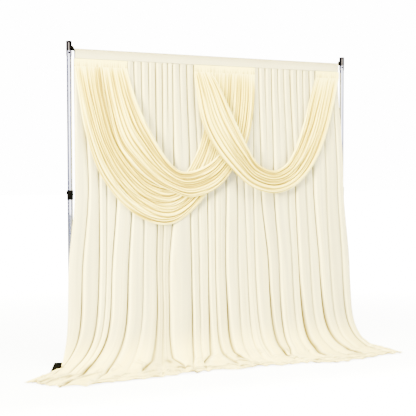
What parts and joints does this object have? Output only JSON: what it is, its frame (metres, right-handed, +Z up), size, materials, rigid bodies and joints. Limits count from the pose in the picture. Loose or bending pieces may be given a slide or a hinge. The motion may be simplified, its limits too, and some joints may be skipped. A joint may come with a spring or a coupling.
{
  "type": "draped backdrop on a pipe stand",
  "caption": "Pleated curtain with crossing swags and a train on the floor, hung from the crossbar of a telescopic pipe stand on flat steel bases.",
  "frame": {"origin": "on the floor, in the middle of the ground that the whole backdrop covers", "axes": "+X along the crossbar to the viewer's right, +Y away from the viewer, +Z up"},
  "size_m": [3.7712, 1.1755, 3.05],
  "materials": {
    "polished_aluminium": "polished",
    "plated_steel": "polished plating",
    "black_steel": "satin powder coat",
    "black_plastic": "moulded, satin",
    "ivory_cloth": "smooth knitted satin",
    "cream_cloth": "smooth knitted satin"
  },
  "bodies": {
    "stand": {"base_left": "black_steel", "lower_tube_left": "polished_aluminium", "upper_tube_left": "polished_aluminium", "collar_left": "black_plastic", "head_left": "plated_steel", "rivet_left": "plated_steel", "hook_left": "black_steel", "base_right": "black_steel", "lower_tube_right": "polished_aluminium", "upper_tube_right": "polished_aluminium", "collar_right": "black_plastic", "head_right": "plated_steel", "rivet_right": "plated_steel", "hook_right": "black_steel", "crossbar": "polished_aluminium", "rod_pocket": "ivory_cloth", "curtain": "ivory_cloth", "tape_left": "cream_cloth", "tape_middle": "cream_cloth", "tape_right": "cream_cloth", "swag_low": "cream_cloth", "swag_high": "cream_cloth", "swag_right": "cream_cloth"},
    "knob_left": {"clamp_knob_left": "black_plastic"},
    "knob_right": {"clamp_knob_right": "black_plastic"}
  },
  "joints": [
    {"name": "knob_left_turn", "type": "hinge", "parent": "stand", "child": "knob_left", "pos_m": [-1.3555, 0.3803, 1.641], "axis": [0, 1, 0], "continuous": true},
    {"name": "knob_right_turn", "type": "hinge", "parent": "stand", "child": "knob_right", "pos_m": [1.6445, 0.3803, 1.641], "axis": [0, 1, 0], "continuous": true}
  ]
}
